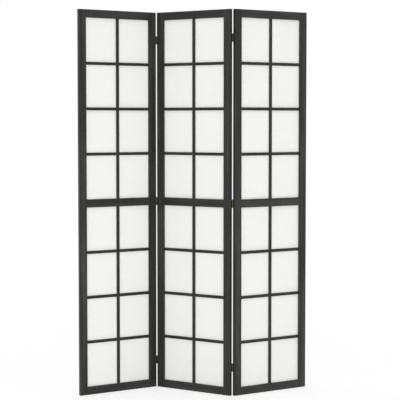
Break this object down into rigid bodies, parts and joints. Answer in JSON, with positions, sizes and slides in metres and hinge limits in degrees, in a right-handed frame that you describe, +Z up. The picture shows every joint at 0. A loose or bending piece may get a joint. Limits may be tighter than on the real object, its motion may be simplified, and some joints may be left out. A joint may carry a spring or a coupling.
{
  "type": "shoji folding screen",
  "caption": "Zigzag folding screen of tall dark wooden frames with a lattice backed by white paper sheets, joined edge to edge by slim two-way hinges.",
  "frame": {"origin": "floor point under the centre of the middle panel, which is the bottom centre of the bounding box", "axes": "+Z up, the panels' fronts face -Y, +X to the right as seen from the front"},
  "size_m": [1.0154, 0.2356, 1.7],
  "materials": {
    "frame_wood": "softwood, black water stain under satin lacquer",
    "lattice_wood": "softwood strip, black water stain under satin lacquer",
    "paper": "white long-fibre shoji paper, matt",
    "hinge_plate": "sheet brass, dark bronze patina",
    "pin_steel": "drawn wire, dark bronze plating",
    "screw_steel": "countersunk wood screw, dark bronze plating"
  },
  "bodies": {
    "centre_panel": {"centre_panel_left_stile": "frame_wood", "centre_panel_right_stile": "frame_wood", "centre_panel_bottom_rail": "frame_wood", "centre_panel_middle_rail": "frame_wood", "centre_panel_top_rail": "frame_wood", "centre_panel_lower_upright_bar": "lattice_wood", "centre_panel_lower_cross_bar_1": "lattice_wood", "centre_panel_lower_cross_bar_2": "lattice_wood", "centre_panel_lower_cross_bar_3": "lattice_wood", "centre_panel_lower_paper": "paper", "centre_panel_upper_upright_bar": "lattice_wood", "centre_panel_upper_cross_bar_1": "lattice_wood", "centre_panel_upper_cross_bar_2": "lattice_wood", "centre_panel_upper_cross_bar_3": "lattice_wood", "centre_panel_upper_paper": "paper", "left_hinges_back_pin_leaves": "hinge_plate", "left_hinges_back_leaf_screws": "screw_steel", "right_hinges_front_pin_leaves": "hinge_plate", "right_hinges_front_leaf_screws": "screw_steel"},
    "left_links": {"left_hinges_links": "hinge_plate", "left_hinges_front_pins": "pin_steel", "left_hinges_back_pins": "pin_steel"},
    "left_panel": {"left_panel_left_stile": "frame_wood", "left_panel_right_stile": "frame_wood", "left_panel_bottom_rail": "frame_wood", "left_panel_middle_rail": "frame_wood", "left_panel_top_rail": "frame_wood", "left_panel_lower_upright_bar": "lattice_wood", "left_panel_lower_cross_bar_1": "lattice_wood", "left_panel_lower_cross_bar_2": "lattice_wood", "left_panel_lower_cross_bar_3": "lattice_wood", "left_panel_lower_paper": "paper", "left_panel_upper_upright_bar": "lattice_wood", "left_panel_upper_cross_bar_1": "lattice_wood", "left_panel_upper_cross_bar_2": "lattice_wood", "left_panel_upper_cross_bar_3": "lattice_wood", "left_panel_upper_paper": "paper", "left_hinges_front_pin_leaves": "hinge_plate", "left_hinges_front_leaf_screws": "screw_steel"},
    "right_links": {"right_hinges_links": "hinge_plate", "right_hinges_front_pins": "pin_steel", "right_hinges_back_pins": "pin_steel"},
    "right_panel": {"right_panel_left_stile": "frame_wood", "right_panel_right_stile": "frame_wood", "right_panel_bottom_rail": "frame_wood", "right_panel_middle_rail": "frame_wood", "right_panel_top_rail": "frame_wood", "right_panel_lower_upright_bar": "lattice_wood", "right_panel_lower_cross_bar_1": "lattice_wood", "right_panel_lower_cross_bar_2": "lattice_wood", "right_panel_lower_cross_bar_3": "lattice_wood", "right_panel_lower_paper": "paper", "right_panel_upper_upright_bar": "lattice_wood", "right_panel_upper_cross_bar_1": "lattice_wood", "right_panel_upper_cross_bar_2": "lattice_wood", "right_panel_upper_cross_bar_3": "lattice_wood", "right_panel_upper_paper": "paper", "right_hinges_back_pin_leaves": "hinge_plate", "right_hinges_back_leaf_screws": "screw_steel"}
  },
  "joints": [
    {"name": "left_back_pins", "type": "hinge", "parent": "centre_panel", "child": "left_links", "pos_m": [-0.16079, 0.11602, 0.85], "axis": [0, 0, -1], "range_deg": [0, 90]},
    {"name": "left_front_pins", "type": "hinge", "parent": "left_links", "child": "left_panel", "pos_m": [-0.16998, 0.10208, 0.85], "axis": [0, 0, 1], "range_deg": [-66.8, 113.2]},
    {"name": "right_front_pins", "type": "hinge", "parent": "centre_panel", "child": "right_links", "pos_m": [0.16079, -0.11602, 0.85], "axis": [0, 0, -1], "range_deg": [0, 90]},
    {"name": "right_back_pins", "type": "hinge", "parent": "right_links", "child": "right_panel", "pos_m": [0.16998, -0.10208, 0.85], "axis": [0, 0, 1], "range_deg": [-66.8, 113.2]}
  ]
}
